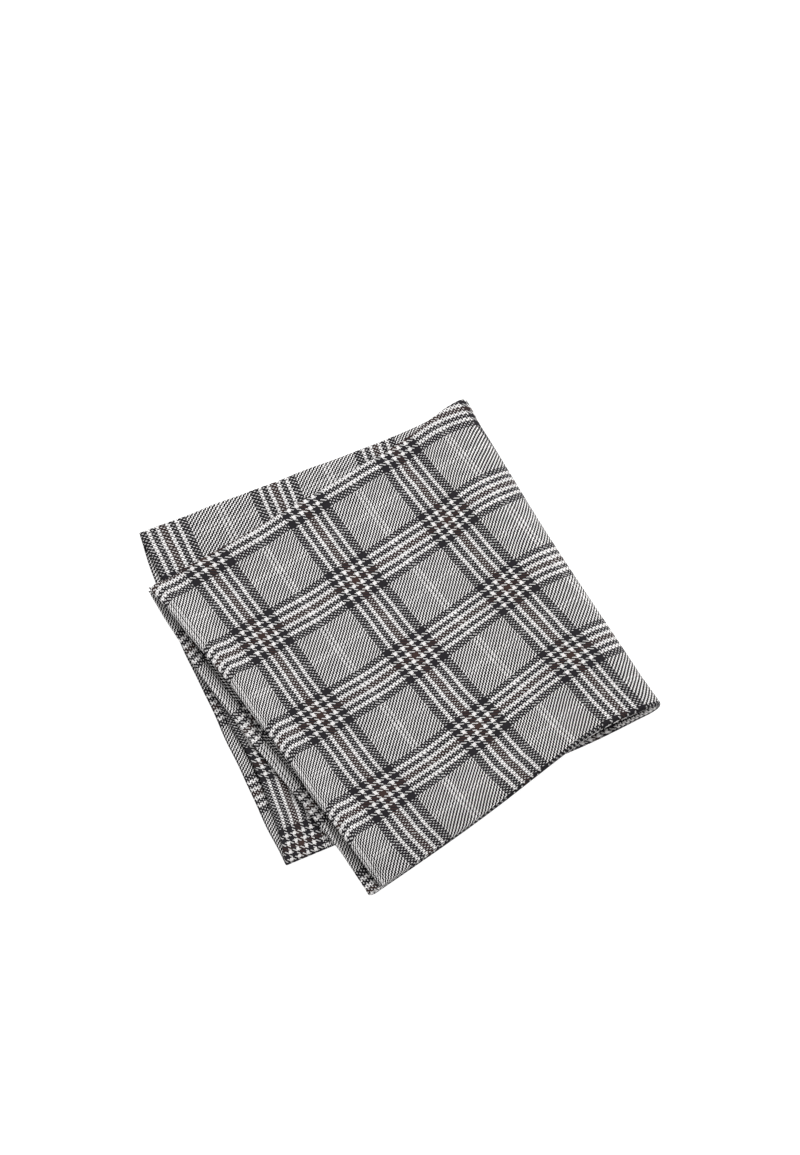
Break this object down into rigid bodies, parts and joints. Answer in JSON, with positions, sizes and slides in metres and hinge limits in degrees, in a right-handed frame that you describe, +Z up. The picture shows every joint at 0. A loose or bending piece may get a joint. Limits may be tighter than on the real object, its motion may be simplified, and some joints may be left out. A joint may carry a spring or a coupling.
{
  "type": "folded pocket square",
  "caption": "Square of checked twill cloth with a narrow hem, folded in quarters a little askew and lying flat, with a soft rounded long fold",
  "frame": {"origin": "on the surface the square lies on, under the middle of its plan", "axes": "+Z up, +Y along the long soft fold from the short fold to the open hems, +X toward the long soft fold"},
  "size_m": [0.1582, 0.1765, 0.0103],
  "materials": {
    "cloth": "matte woven twill"
  },
  "bodies": {
    "root": {"folded_square": "cloth"}
  },
  "joints": []
}
